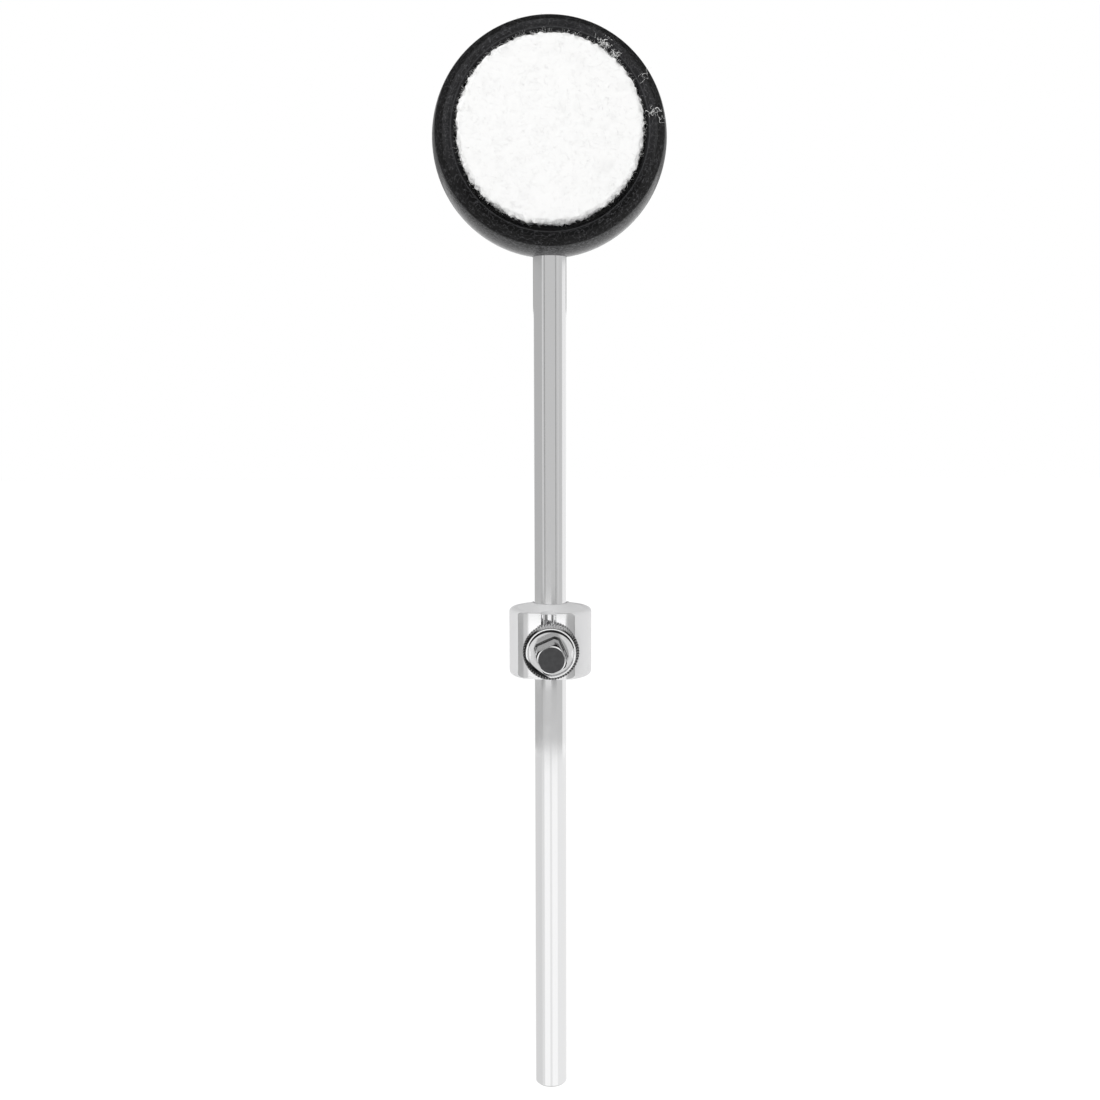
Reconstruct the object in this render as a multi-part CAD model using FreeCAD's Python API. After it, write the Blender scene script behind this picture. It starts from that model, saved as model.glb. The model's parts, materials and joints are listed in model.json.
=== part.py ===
import FreeCAD, Part
import math
import os

# Bass drum beater: a felt-faced head on a straight plated rod, with a lock collar that keeps
# the rod's height in the pedal. All lengths are in millimetres. The origin is the centre of the
# rod's lower tip, +Z runs up the rod, and the felt face looks along -Y.

# Rod, with a shouldered and threaded upper end
rod_radius = 4.0
rod_tip_chamfer = 0.45
rod_thread_radius = 3.0
rod_thread_length = 14.5
rod_thread_chamfer = 0.6

# Rubber ring round the head, a barrel that turns about Y
head_centre_height = 235.0
ring_belly_radius = 27.65
ring_edge_drop = 3.95
ring_depth = 26.0
ring_lip_width = 1.7
ring_lip_depth = 1.4
ring_rib_height = 1.4
ring_rib_width = 6.0
ring_edge_round = 0.5

# Felt pad in the front mouth
felt_mouth_gap = 0.45
felt_proud = 0.3
felt_edge_round = 1.8

# Moulded core, whose domed back is the hard striking side
core_front_wall = 1.3
core_rear_sink = 1.0
core_dome_height = 3.0
core_rear_round = 1.2

# Brass insert moulded into the core, and the pin that locks the rod's thread in it
insert_radius = 6.0
insert_length = 16.0
insert_sink = 0.8
insert_groove_depth = 0.9
insert_groove_width = 4.0
insert_groove_pitch = 7.5
pin_radius = 1.25
pin_inset = 1.2
pin_chamfer = 0.3

# Lock collar with its crowned front, its index groove and the low cone on its top
collar_centre_height = 114.8
collar_radius = 10.1
collar_height = 16.5
collar_edge_round = 1.0
collar_bore_chamfer = 0.2
collar_cone_height = 1.25
collar_cone_radius = 4.4
collar_cone_foot_radius = 8.0
collar_front_distance = 8.25
collar_front_crown_radius = 28.0
collar_front_turn = 8.5
collar_front_edge_round = 0.3
collar_groove_radius = 2.1
collar_groove_depth = 1.2
collar_groove_offset = 0.6

# Key-headed lock screw and the serrated washer behind its flange
screw_thread_radius = 3.0
screw_tip_chamfer = 0.5
screw_drop = 1.0
washer_standoff = 1.3
washer_thickness = 0.9
washer_outer_radius = 6.88
washer_tooth_depth = 0.32
washer_tooth_count = 60
washer_bevel = 0.3
flange_radius = 5.82
flange_thickness = 1.1
flange_rim_round = 0.25
flange_rim_width = 0.45
flange_dish_depth = 0.55
flange_dish_wall = 0.25
key_width = 6.0
key_corner_radius = 3.7
key_end_radius = 3.0
key_end_chamfer = 0.45
key_length = 8.3
key_turn = 24.0

# Clearances: sliding and turning fits, seats that are glued or moulded, and the overrun of cuts
collar_fit = 0.05
thread_fit = 0.05
washer_fit = 0.08
face_gap = 0.05
seat_gap = 0.05
rod_passage_gap = 0.1
cut_overrun = 1.0

full_turn = 360.0
up = FreeCAD.Vector(0, 0, 1)
right = FreeCAD.Vector(1, 0, 0)
back = FreeCAD.Vector(0, 1, 0)
head_centre = FreeCAD.Vector(0, 0, head_centre_height)
screw_height = collar_centre_height - screw_drop
screw_centre = FreeCAD.Vector(0, 0, screw_height)

# Places that follow from the sizes above
ring_edge_radius = ring_belly_radius - ring_edge_drop
ring_mouth_radius = ring_edge_radius - ring_lip_width
ring_half_depth = ring_depth / 2
mouth_half_depth = ring_half_depth - ring_lip_depth
felt_radius = ring_mouth_radius - felt_mouth_gap
felt_front = ring_half_depth + felt_proud
core_radius = ring_mouth_radius - seat_gap
core_waist_radius = core_radius - ring_rib_height
core_front = insert_radius + seat_gap + core_front_wall
felt_back = core_front + seat_gap
core_rear_rim = ring_half_depth - core_rear_sink
insert_corner_drop = math.sqrt(core_waist_radius ** 2 - insert_radius ** 2)
insert_bottom = head_centre_height - insert_corner_drop + insert_sink
insert_middle = insert_bottom + insert_length / 2
rod_shoulder = insert_bottom - seat_gap
washer_back = collar_front_distance + washer_standoff
washer_front = washer_back + washer_thickness
flange_back = washer_front + face_gap
flange_front = flange_back + flange_thickness
dish_floor = flange_front - flange_dish_depth
key_end = flange_front + key_length
screw_tip = rod_radius + face_gap


def outline(start, *steps):
    """Closed wire from start: a step is the end of a line, or a pair for an arc's middle and end."""
    edges = []
    here = start
    for step in steps:
        if isinstance(step, tuple):
            middle, there = step
            edges.append(Part.Arc(here, middle, there).toShape())
        else:
            there = step
            edges.append(Part.LineSegment(here, there).toShape())
        here = there
    edges.append(Part.LineSegment(here, start).toShape())
    return Part.Wire(edges)


def turned(wire, centre, axis):
    """Solid of revolution of a closed wire about an axis through centre."""
    return Part.Face(wire).revolve(centre, axis, full_turn)


def corner_arc(before, corner, after):
    """Quarter round between two points whose straight runs meet square at the corner."""
    centre = before + after - corner
    middle = centre + (corner - centre).normalize() * (before - centre).Length
    return (middle, after)


def rod_point(radius, height):
    """Point of a profile that turns about the rod's axis."""
    return FreeCAD.Vector(radius, 0, height)


def head_point(radius, depth):
    """Point of a profile that turns about the head's axis, with depth counted along +Y."""
    return FreeCAD.Vector(radius, depth, head_centre_height)


def screw_point(radius, distance):
    """Point of a profile that turns about the screw's axis, with distance counted from the rod along -Y."""
    return FreeCAD.Vector(radius, -distance, screw_height)


def shoulder_arc(side):
    """Middle of the ring's barrel arc between the belly and one edge, on the side given by its sign."""
    sweep_radius = (ring_edge_drop ** 2 + ring_half_depth ** 2) / (2 * ring_edge_drop)
    half_angle = math.asin(ring_half_depth / sweep_radius) / 2
    middle_radius = ring_belly_radius - sweep_radius * (1 - math.cos(half_angle))
    return head_point(middle_radius, side * sweep_radius * math.sin(half_angle))


def make_rod():
    """Straight plated rod: chamfered tip, shoulder, threaded upper end and the lock pin's hole."""
    top = rod_shoulder + rod_thread_length
    wire = outline(
        rod_point(0, 0),
        rod_point(rod_radius - rod_tip_chamfer, 0),
        rod_point(rod_radius, rod_tip_chamfer),
        rod_point(rod_radius, rod_shoulder),
        rod_point(rod_thread_radius, rod_shoulder),
        rod_point(rod_thread_radius, top - rod_thread_chamfer),
        rod_point(rod_thread_radius - rod_thread_chamfer, top),
        rod_point(0, top),
    )
    return turned(wire, FreeCAD.Vector(), up).cut(pin_hole(rod_radius))


def pin_hole(reach):
    """Hole for the lock pin along X, as long as twice the reach and its overrun."""
    length = 2 * (reach + cut_overrun)
    start = FreeCAD.Vector(-length / 2, 0, insert_middle)
    return Part.makeCylinder(pin_radius + seat_gap, length, start, right)


def rod_passage():
    """Hole for the rod's plain part, up to its shoulder."""
    bottom = head_centre_height - ring_belly_radius - cut_overrun
    start = FreeCAD.Vector(0, 0, bottom)
    return Part.makeCylinder(rod_radius + rod_passage_gap, insert_bottom - bottom, start, up)


def make_ring():
    """Barrel-shaped rubber ring with dished lips, and a rib inside that keeps it on the core."""
    rib_radius = ring_mouth_radius - ring_rib_height
    rib_half = ring_rib_width / 2
    wire = outline(
        head_point(ring_mouth_radius, -mouth_half_depth),
        head_point(ring_edge_radius, -ring_half_depth),
        (shoulder_arc(-1), head_point(ring_belly_radius, 0)),
        (shoulder_arc(1), head_point(ring_edge_radius, ring_half_depth)),
        head_point(ring_mouth_radius, mouth_half_depth),
        head_point(ring_mouth_radius, rib_half),
        head_point(rib_radius, rib_half),
        head_point(rib_radius, -rib_half),
        head_point(ring_mouth_radius, -rib_half),
    )
    ring = turned(wire, head_centre, back)
    edges = [edge for edge in ring.Edges if on_ring_edge(edge)]
    return ring.makeFillet(ring_edge_round, edges).cut(rod_passage())


def on_ring_edge(edge):
    """True for the two circles where the barrel meets the dished lips."""
    curve = edge.Curve
    return isinstance(curve, Part.Circle) and abs(curve.Radius - ring_edge_radius) < seat_gap


def make_felt():
    """Felt pad: a flat disc with a rounded front edge."""
    round_start = head_point(felt_radius, felt_edge_round - felt_front)
    corner = head_point(felt_radius, -felt_front)
    round_end = head_point(felt_radius - felt_edge_round, -felt_front)
    wire = outline(
        head_point(0, -felt_back),
        head_point(felt_radius, -felt_back),
        round_start,
        corner_arc(round_start, corner, round_end),
        head_point(0, -felt_front),
    )
    return turned(wire, head_centre, back)


def make_core():
    """Moulded core: waisted for the ring's rib, with a domed back and the insert's cavity."""
    waist_half = ring_rib_width / 2 + seat_gap
    dome_reach = core_radius - core_rear_round
    dome_radius = (dome_reach ** 2 + core_dome_height ** 2) / (2 * core_dome_height)
    dome_angle = math.asin(dome_reach / dome_radius) / 2
    dome_top = core_rear_rim + core_dome_height
    dome_drop = dome_radius * (1 - math.cos(dome_angle))
    dome_middle = head_point(dome_radius * math.sin(dome_angle), dome_top - dome_drop)
    round_start = head_point(core_radius, core_rear_rim - core_rear_round)
    corner = head_point(core_radius, core_rear_rim)
    round_end = head_point(dome_reach, core_rear_rim)
    wire = outline(
        head_point(0, -core_front),
        head_point(core_radius, -core_front),
        head_point(core_radius, -waist_half),
        head_point(core_waist_radius, -waist_half),
        head_point(core_waist_radius, waist_half),
        head_point(core_radius, waist_half),
        round_start,
        corner_arc(round_start, corner, round_end),
        (dome_middle, head_point(0, dome_top)),
    )
    core = turned(wire, head_centre, back)
    cavity = turned(insert_outline(0, seat_gap), FreeCAD.Vector(), up)
    return core.cut(cavity).cut(rod_passage()).cut(pin_hole(core_radius))


def insert_outline(bore, growth):
    """Half section of the insert with two gripping grooves, grown all round by growth."""
    outer = insert_radius + growth
    neck = outer - insert_groove_depth
    bottom = insert_bottom - growth
    top = insert_bottom + insert_length + growth
    half_width = insert_groove_width / 2 - growth
    points = [rod_point(outer, bottom)]
    for side in (-1, 1):
        centre = insert_middle + side * insert_groove_pitch / 2
        points.append(rod_point(outer, centre - half_width))
        points.append(rod_point(neck, centre - half_width))
        points.append(rod_point(neck, centre + half_width))
        points.append(rod_point(outer, centre + half_width))
    points.append(rod_point(outer, top))
    points.append(rod_point(bore, top))
    return outline(rod_point(bore, bottom), *points)


def make_insert():
    """Brass insert: takes the rod's thread, grooved to hold in the core, cross drilled for the pin."""
    bore = rod_thread_radius + thread_fit
    insert = turned(insert_outline(bore, 0), FreeCAD.Vector(), up)
    return insert.cut(pin_hole(insert_radius))


def make_pin():
    """Lock pin across the head, ending short of the core's waist."""
    drop = head_centre_height - insert_middle
    half_length = math.sqrt(core_waist_radius ** 2 - drop ** 2) - pin_inset
    start = FreeCAD.Vector(-half_length, 0, insert_middle)
    pin = Part.makeCylinder(pin_radius, 2 * half_length, start, right)
    ends = [edge for edge in pin.Edges if isinstance(edge.Curve, Part.Circle)]
    return pin.makeChamfer(pin_chamfer, ends)


def make_collar():
    """Lock collar: a cylinder with a coned top, a crowned front, an index groove, a bore and a screw hole."""
    bottom = collar_centre_height - collar_height / 2
    top = bottom + collar_height
    blank = Part.makeCylinder(collar_radius, collar_height, FreeCAD.Vector(0, 0, bottom), up)
    rims = [edge for edge in blank.Edges if isinstance(edge.Curve, Part.Circle)]
    blank = blank.makeFillet(collar_edge_round, rims)
    crown_centre = collar_front_crown_radius - collar_front_distance
    crown_start = FreeCAD.Vector(0, crown_centre, bottom - cut_overrun)
    crown_height = collar_height + 2 * cut_overrun
    crown = Part.makeCylinder(collar_front_crown_radius, crown_height, crown_start, up)
    crown.rotate(FreeCAD.Vector(), up, -collar_front_turn)
    collar = blank.common(crown)
    front = [face for face in collar.Faces if is_crown(face)]
    collar = collar.makeFillet(collar_front_edge_round, front[0].Edges)
    cone_start = FreeCAD.Vector(0, 0, top)
    cone = Part.makeCone(collar_cone_foot_radius, collar_cone_radius, collar_cone_height, cone_start, up)
    collar = collar.fuse(cone)
    groove_axis = collar_groove_radius - collar_groove_depth + collar_front_distance
    groove_start = FreeCAD.Vector(-collar_groove_offset, -groove_axis, bottom - cut_overrun)
    groove = Part.makeCylinder(collar_groove_radius, crown_height, groove_start, up)
    hole_radius = screw_thread_radius + thread_fit
    hole = Part.makeCylinder(hole_radius, collar_radius + cut_overrun, screw_centre, -back)
    bore_radius = rod_radius + collar_fit
    flare_radius = bore_radius + collar_bore_chamfer
    cone_top = top + collar_cone_height
    bore = outline(
        rod_point(0, bottom - cut_overrun),
        rod_point(flare_radius, bottom - cut_overrun),
        rod_point(flare_radius, bottom),
        rod_point(bore_radius, bottom + collar_bore_chamfer),
        rod_point(bore_radius, cone_top - collar_bore_chamfer),
        rod_point(flare_radius, cone_top),
        rod_point(flare_radius, cone_top + cut_overrun),
        rod_point(0, cone_top + cut_overrun),
    )
    return collar.cut(groove).cut(hole).cut(turned(bore, FreeCAD.Vector(), up))


def is_crown(face):
    """True for the collar's crowned front face."""
    surface = face.Surface
    if not isinstance(surface, Part.Cylinder):
        return False
    return abs(surface.Radius - collar_front_crown_radius) < seat_gap


def make_washer():
    """Washer with a serrated rim, both rim edges bevelled."""
    tooth_angle = 2 * math.pi / washer_tooth_count
    root_radius = washer_outer_radius - washer_tooth_depth
    points = []
    for index in range(2 * washer_tooth_count):
        radius = washer_outer_radius if index % 2 == 0 else root_radius
        angle = index * tooth_angle / 2
        points.append(screw_centre + FreeCAD.Vector(
            radius * math.cos(angle), -washer_back, radius * math.sin(angle)))
    rim = Part.Face(outline(*points)).extrude(-back * washer_thickness)
    bore = screw_thread_radius + washer_fit
    envelope = outline(
        screw_point(bore, washer_back),
        screw_point(washer_outer_radius - washer_bevel, washer_back),
        screw_point(washer_outer_radius, washer_back + washer_bevel),
        screw_point(washer_outer_radius, washer_front - washer_bevel),
        screw_point(washer_outer_radius - washer_bevel, washer_front),
        screw_point(bore, washer_front),
    )
    return rim.common(turned(envelope, screw_centre, back))


def make_screw():
    """Lock screw: threaded shank, dished flange and a square key head with turned corners."""
    rim_corner = screw_point(flange_radius, flange_front)
    round_start = screw_point(flange_radius, flange_front - flange_rim_round)
    round_end = screw_point(flange_radius - flange_rim_round, flange_front)
    body = outline(
        screw_point(0, screw_tip),
        screw_point(screw_thread_radius - screw_tip_chamfer, screw_tip),
        screw_point(screw_thread_radius, screw_tip + screw_tip_chamfer),
        screw_point(screw_thread_radius, flange_back),
        screw_point(flange_radius, flange_back),
        round_start,
        corner_arc(round_start, rim_corner, round_end),
        screw_point(flange_radius - flange_rim_width, flange_front),
        screw_point(flange_radius - flange_rim_width - flange_dish_wall, dish_floor),
        screw_point(0, dish_floor),
    )
    envelope = outline(
        screw_point(0, flange_back),
        screw_point(key_corner_radius, flange_back),
        screw_point(key_corner_radius, key_end - key_end_chamfer),
        screw_point(key_end_radius, key_end),
        screw_point(0, key_end),
    )
    corners = []
    for quarter in range(4):
        angle = math.radians(key_turn) + (quarter + 0.5) * math.pi / 2
        reach = key_width / math.sqrt(2)
        corners.append(screw_centre + FreeCAD.Vector(
            reach * math.cos(angle), -flange_back, reach * math.sin(angle)))
    square = Part.Face(outline(*corners)).extrude(-back * (key_end - flange_back))
    key = square.common(turned(envelope, screw_centre, back))
    return turned(body, screw_centre, back).fuse(key).removeSplitter()


nodes = {
    "rod": make_rod(),
    "head_ring": make_ring(),
    "head_core": make_core(),
    "felt_pad": make_felt(),
    "rod_insert": make_insert(),
    "lock_pin": make_pin(),
    "lock_collar": make_collar(),
    "lock_washer": make_washer(),
    "lock_screw": make_screw(),
}

os.makedirs("parts", exist_ok=True)
for name, shape in nodes.items():
    solids = shape.Solids
    if len(solids) != 1 or not solids[0].isValid():
        raise ValueError(f"{name} is not one valid solid")
    solids[0].exportStep(f"parts/{name}.step")
    box = solids[0].BoundBox
    print(f"{name}: {solids[0].Volume:.1f} mm3, z {box.ZMin:.2f} to {box.ZMax:.2f}")
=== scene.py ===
"""Looks of a bass drum beater: felt, rubber and plated metal over its solid frame, in a plain studio."""

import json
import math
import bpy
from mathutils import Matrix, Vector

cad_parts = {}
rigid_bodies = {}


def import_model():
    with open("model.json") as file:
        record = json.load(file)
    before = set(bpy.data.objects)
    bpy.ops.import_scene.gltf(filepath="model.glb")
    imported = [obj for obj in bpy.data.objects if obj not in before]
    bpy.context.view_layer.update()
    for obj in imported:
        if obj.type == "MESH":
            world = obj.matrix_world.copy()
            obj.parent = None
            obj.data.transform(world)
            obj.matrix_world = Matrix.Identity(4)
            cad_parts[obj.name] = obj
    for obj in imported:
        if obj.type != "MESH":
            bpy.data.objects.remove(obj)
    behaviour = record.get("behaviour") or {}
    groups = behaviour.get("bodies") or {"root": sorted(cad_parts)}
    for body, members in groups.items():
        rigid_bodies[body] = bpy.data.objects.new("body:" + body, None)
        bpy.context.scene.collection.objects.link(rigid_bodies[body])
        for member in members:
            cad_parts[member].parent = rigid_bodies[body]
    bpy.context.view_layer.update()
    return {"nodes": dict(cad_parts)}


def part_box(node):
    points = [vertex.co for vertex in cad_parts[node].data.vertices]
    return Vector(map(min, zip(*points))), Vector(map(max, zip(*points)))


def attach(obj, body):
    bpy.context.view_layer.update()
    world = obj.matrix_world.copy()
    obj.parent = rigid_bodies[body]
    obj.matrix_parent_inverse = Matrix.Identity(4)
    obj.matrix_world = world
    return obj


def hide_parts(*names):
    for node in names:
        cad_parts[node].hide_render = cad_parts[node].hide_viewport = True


bl_info = {
    "name": "Bass Drum Beater",
    "version": (1, 0, 0),
    "blender": (4, 5, 0),
    "location": "View3D > Sidebar > Beater",
    "description": "Dresses the beater's frame with felt, rubber and plated metal, and sets up its studio",
    "category": "Object",
}

import bpy
import numpy as np
from bpy.props import FloatProperty, FloatVectorProperty, IntProperty, PointerProperty
from mathutils import Matrix, Vector

for leftover in list(bpy.data.objects):
    bpy.data.objects.remove(leftover)

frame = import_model()

full_turn = 2 * math.pi

# Places that follow from the frame, in metres
rod_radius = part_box("rod")[1].x
rod_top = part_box("rod")[1].z
rod_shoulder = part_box("rod_insert")[0].z
head_height = (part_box("felt_pad")[0].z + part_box("felt_pad")[1].z) / 2
felt_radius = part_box("felt_pad")[1].x
felt_front = -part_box("felt_pad")[0].y
felt_back = -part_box("felt_pad")[1].y
belly_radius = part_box("head_ring")[1].x
lock_height = (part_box("lock_screw")[0].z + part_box("lock_screw")[1].z) / 2
screw_tip = -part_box("lock_screw")[1].y
key_end = -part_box("lock_screw")[0].y
washer_back = -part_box("lock_washer")[1].y
washer_front = -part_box("lock_washer")[0].y
washer_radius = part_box("lock_washer")[1].x

# The rod's chamfers and thread, as the solid has them, in metres
rod_tip_chamfer = 0.00045
rod_thread_radius = 0.003
rod_thread_chamfer = 0.0006

# The ring's front, as the solid has it, in metres
ring_half_depth = 0.013
ring_edge_radius = 0.0237
ring_mouth_radius = 0.022
ring_lip_depth = 0.0014

# Upright axes of the collar's crowned front and of its groove, as the solid has them, and the distances
# from them over which the polish sets in, in metres
crown_axis = (0.002919, 0.019533, 0.0)
crown_polish = (0.02788, 0.02796)
groove_axis = (-0.0006, -0.00915, 0.0)
groove_polish = (0.00212, 0.00216)

# Flat of the collar's top, under its low cone, as the solid has it, in metres
collar_top = 0.12305

# The lock screw's flange, in metres. It is 0.2 mm larger in radius than the solid's, and its dish is as deep.
washer_gap = 0.00005
flange_thickness = 0.0011
dish_depth = 0.00055
flange_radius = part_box("lock_screw")[1].x + 0.0002
flange_back = washer_front + washer_gap
dish_floor = flange_back + flange_thickness - dish_depth

# Circles that bound the painted shade and the painted highlights of the flange: offsets across and up from
# the screw's axis, and radius, in metres. It has painted shade outside the first. In its dish it has full
# painted shade outside the second, a third as much within it, and painted highlights within the other two.
rim_painted_shade = (0.00643, 0.00766, 0.0152)
dish_painted_shade = (0.0, -0.0007, 0.0057)
dish_painted_gleams = ((-0.0109, -0.0004, 0.0061), (0.0074, -0.0004, 0.00255))

# Depths between which the screw has its dish, the painted highlight ring on the key's chamfer, and the
# painted shade lines at the key's foot and shoulder, in metres
dish_depths = (dish_floor - 0.0001, dish_floor + 0.00053)
chamfer_depths = (key_end - 0.0002, key_end)
foot_depths = (dish_floor + 0.00001, dish_floor + 0.00013)
shoulder_depths = (key_end - 0.00062, key_end - 0.00021)

# Keywords that properties of one kind share
length_kind = {"unit": "LENGTH", "precision": 5}
colour_kind = {"subtype": "COLOR", "size": 3, "min": 0, "max": 1}


class BeaterSizes(bpy.types.PropertyGroup):
    """Sizes that shape the beater's dressed pieces."""

    felt_edge_round: FloatProperty(
        name="Felt edge round", description="Radius of the felt pad's front edge",
        default=0.001, min=0.0005, max=0.004, **length_kind)
    felt_ripple: FloatProperty(
        name="Felt ripple", description="How far the felt's surface stands off its plain form",
        default=0.00011, min=0.0, max=0.0005, **length_kind)
    fuzz_length: FloatProperty(
        name="Fuzz length", description="Longest fibre that stands out of the felt",
        default=0.0018, min=0.0002, max=0.004, **length_kind)
    fuzz_thickness: FloatProperty(
        name="Fuzz thickness", description="Radius of a felt fibre at its root",
        default=0.00003, min=0.00001, max=0.0001, **length_kind)
    edge_fuzz_count: IntProperty(
        name="Edge fuzz", description="Fibres round the felt's front edge", default=1400, min=0, max=3000)
    face_fuzz_count: IntProperty(
        name="Face fuzz", description="Fibres that lie on the felt's face", default=1600, min=0, max=3000)
    lint_count: IntProperty(
        name="Lint", description="Fine fibres caught on the rubber ring", default=240, min=0, max=2000)
    thread_pitch: FloatProperty(
        name="Thread pitch", description="Rise of the lock screw's thread in one turn",
        default=0.001, min=0.0004, max=0.002, **length_kind)
    thread_depth: FloatProperty(
        name="Thread depth", description="Depth of the lock screw's thread",
        default=0.00055, min=0.0001, max=0.001, **length_kind)
    serration_count: IntProperty(
        name="Serrations", description="Teeth round the lock washer's rim", default=60, min=12, max=120)
    serration_depth: FloatProperty(
        name="Serration depth", description="Depth of a tooth on the lock washer's rim",
        default=0.00032, min=0.00005, max=0.0006, **length_kind)


class BeaterColours(bpy.types.PropertyGroup):
    """Colours of the beater's finishes and of its studio."""

    felt: FloatVectorProperty(
        name="Felt", description="Pressed white felt", default=(0.9, 0.9, 0.895), **colour_kind)
    lint: FloatVectorProperty(
        name="Lint", description="Felt fibres caught on the ring", default=(0.1, 0.1, 0.1), **colour_kind)
    ring: FloatVectorProperty(
        name="Ring", description="Black rubber", default=(0.003, 0.003, 0.0032), **colour_kind)
    core: FloatVectorProperty(
        name="Core", description="Moulded black plastic", default=(0.02, 0.02, 0.021), **colour_kind)
    rod_plating: FloatVectorProperty(
        name="Rod plating", description="Bright plating of the rod",
        default=(0.92, 0.92, 0.925), **colour_kind)
    lock_plating: FloatVectorProperty(
        name="Lock plating", description="Polished plating of the collar's front and the screw",
        default=(0.93, 0.93, 0.935), **colour_kind)
    collar_satin: FloatVectorProperty(
        name="Collar satin", description="Satin plating of the collar's top and sides",
        default=(0.75, 0.75, 0.755), **colour_kind)
    # Dark tone of the washer, which its finish lifts with painted light at the top and painted highlights on
    # the rim and teeth, and keeps as painted shade beside the flange.
    washer_plating: FloatVectorProperty(
        name="Washer plating", description="Blackened parts of the serrated washer",
        default=(0.0225, 0.0225, 0.02275), **colour_kind)
    key_end: FloatVectorProperty(
        name="Key end", description="Blackened end of the lock screw",
        default=(0.045, 0.045, 0.047), **colour_kind)
    brass: FloatVectorProperty(
        name="Brass", description="Insert inside the head", default=(0.72, 0.5, 0.2), **colour_kind)
    pin_steel: FloatVectorProperty(
        name="Pin steel", description="Lock pin inside the head", default=(0.55, 0.55, 0.56), **colour_kind)
    floor: FloatVectorProperty(
        name="Floor", description="Pale studio floor", default=(0.82, 0.82, 0.82), **colour_kind)


class Finish:
    """A material with its shader, and short ways to add patterns on Object coordinates."""

    def __init__(self, name, colour, roughness, metallic=0.0):
        self.material = bpy.data.materials.new(name)
        self.material.use_nodes = True
        self.nodes = self.material.node_tree.nodes
        self.links = self.material.node_tree.links
        self.shader = self.nodes["Principled BSDF"]
        self.set("Base Color", (*colour, 1.0))
        self.set("Roughness", roughness)
        self.set("Metallic", metallic)
        self.place = self.nodes.new("ShaderNodeTexCoord").outputs["Object"]

    def set(self, socket, value):
        """Sets a shader value that is the same all over the surface."""
        self.shader.inputs[socket].default_value = value

    def feed(self, socket, source):
        """Feeds a shader socket from a pattern."""
        self.links.new(source, self.shader.inputs[socket])

    def stretched(self, stretch):
        """Object coordinates with each axis multiplied by its own number."""
        mapping = self.nodes.new("ShaderNodeMapping")
        mapping.inputs["Scale"].default_value = stretch
        self.links.new(self.place, mapping.inputs["Vector"])
        return mapping.outputs["Vector"]

    def noise(self, scale, detail=2.0, stretch=None):
        """Cloudy noise from 0 to 1, with scale in clouds per metre."""
        node = self.nodes.new("ShaderNodeTexNoise")
        node.inputs["Scale"].default_value = scale
        node.inputs["Detail"].default_value = detail
        place = self.stretched(stretch) if stretch else self.place
        self.links.new(place, node.inputs["Vector"])
        return node.outputs["Fac"]

    def cells(self, scale):
        """Distance to the nearest of scattered points, with scale in points per metre."""
        node = self.nodes.new("ShaderNodeTexVoronoi")
        node.inputs["Scale"].default_value = scale
        self.links.new(self.place, node.inputs["Vector"])
        return node.outputs["Distance"]

    def distance(self, stretch, centre):
        """Distance of the stretched Object coordinates from a centre, in metres."""
        node = self.nodes.new("ShaderNodeVectorMath")
        node.operation = "DISTANCE"
        self.links.new(self.stretched(stretch), node.inputs[0])
        node.inputs[1].default_value = centre
        return node.outputs["Value"]

    def depth(self):
        """Distance before or behind the rod's axis, in metres."""
        return self.distance((0.0, 1.0, 0.0), (0.0, 0.0, 0.0))

    def height(self):
        """Height above the rod's tip, in metres."""
        return self.distance((0.0, 0.0, 1.0), (0.0, 0.0, 0.0))

    def off_level_axis(self, height, across=0.0):
        """Distance from an axis that looks to the front, in metres."""
        return self.distance((1.0, 0.0, 1.0), (across, 0.0, height))

    def off_upright_axis(self, place):
        """Distance from an upright axis through a place, in metres."""
        return self.distance((1.0, 1.0, 0.0), place)

    def spread(self, source, start, end, low, high):
        """Maps start to end onto low to high, held at both ends."""
        node = self.nodes.new("ShaderNodeMapRange")
        self.links.new(source, node.inputs["Value"])
        for socket, value in zip(("From Min", "From Max", "To Min", "To Max"), (start, end, low, high)):
            node.inputs[socket].default_value = value
        return node.outputs["Result"]

    def graded(self, share, low, high):
        """Goes from low to high as a share goes from 0 to 1."""
        return self.spread(share, 0.0, 1.0, low, high)

    def combine(self, operation, first, second):
        """Joins two patterns, or a pattern and a number, by an operation of the Math node."""
        node = self.nodes.new("ShaderNodeMath")
        node.operation = operation
        for socket, value in zip(node.inputs, (first, second)):
            if isinstance(value, (int, float)):
                socket.default_value = value
            else:
                self.links.new(value, socket)
        return node.outputs["Value"]

    def times(self, first, second):
        """One pattern times another, or times a number."""
        return self.combine("MULTIPLY", first, second)

    def plus(self, first, second):
        """The sum of two patterns."""
        return self.combine("ADD", first, second)

    def most(self, first, second):
        """The larger of two patterns at each point."""
        return self.combine("MAXIMUM", first, second)

    def tint(self, share, first, second):
        """Colour that goes from first to second with share."""
        node = self.nodes.new("ShaderNodeMix")
        node.data_type = "RGBA"
        self.links.new(share, node.inputs["Factor"])
        for name, colour in (("A", first), ("B", second)):
            socket = [entry for entry in node.inputs if entry.name == name and entry.type == "RGBA"][0]
            socket.default_value = (*colour, 1.0)
        return [entry for entry in node.outputs if entry.type == "RGBA"][0]

    def bump(self, height, distance, strength=1.0):
        """Raises the surface by a pattern, up to distance in metres."""
        node = self.nodes.new("ShaderNodeBump")
        node.inputs["Strength"].default_value = strength
        node.inputs["Distance"].default_value = distance
        self.links.new(height, node.inputs["Height"])
        self.feed("Normal", node.outputs["Normal"])


def scaled(colour, factor):
    """A colour with each channel multiplied by factor, and kept at 1 or less."""
    return tuple(min(1.0, channel * factor) for channel in colour)


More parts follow.
